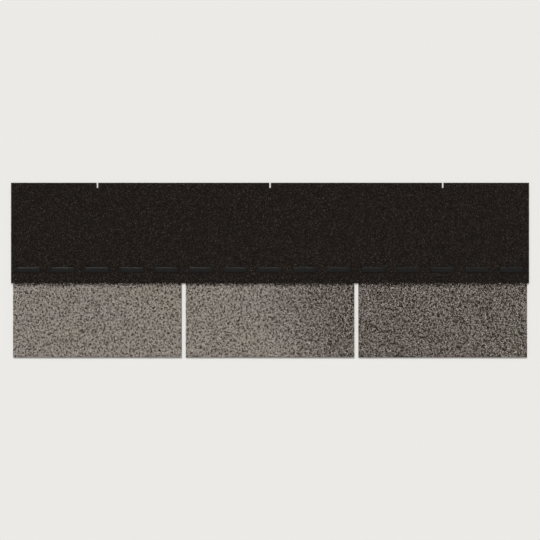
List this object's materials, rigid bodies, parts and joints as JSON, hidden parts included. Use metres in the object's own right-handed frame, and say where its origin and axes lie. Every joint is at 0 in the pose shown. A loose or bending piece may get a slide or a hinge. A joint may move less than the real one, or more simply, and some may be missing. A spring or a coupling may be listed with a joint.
{
  "type": "three-tab asphalt shingle",
  "caption": "Flat asphalt strip shingle with a granule face, tabs divided by narrow cutouts, a row of sealing beads across the lap and a release film underneath.",
  "frame": {"origin": "middle of the underside, half way along the strip and half way between its butt edge and its top edge", "axes": "+X along the course, +Y up the roof slope from the butt edge to the top edge, +Z away from the roof deck"},
  "size_m": [1, 0.337, 0.0036],
  "materials": {
    "granule_surface": "matte",
    "sealant": "satin",
    "film": "satin"
  },
  "bodies": {
    "root": {"shingle_sheet": "granule_surface", "sealant_beads": "sealant", "release_film": "film"}
  },
  "joints": []
}
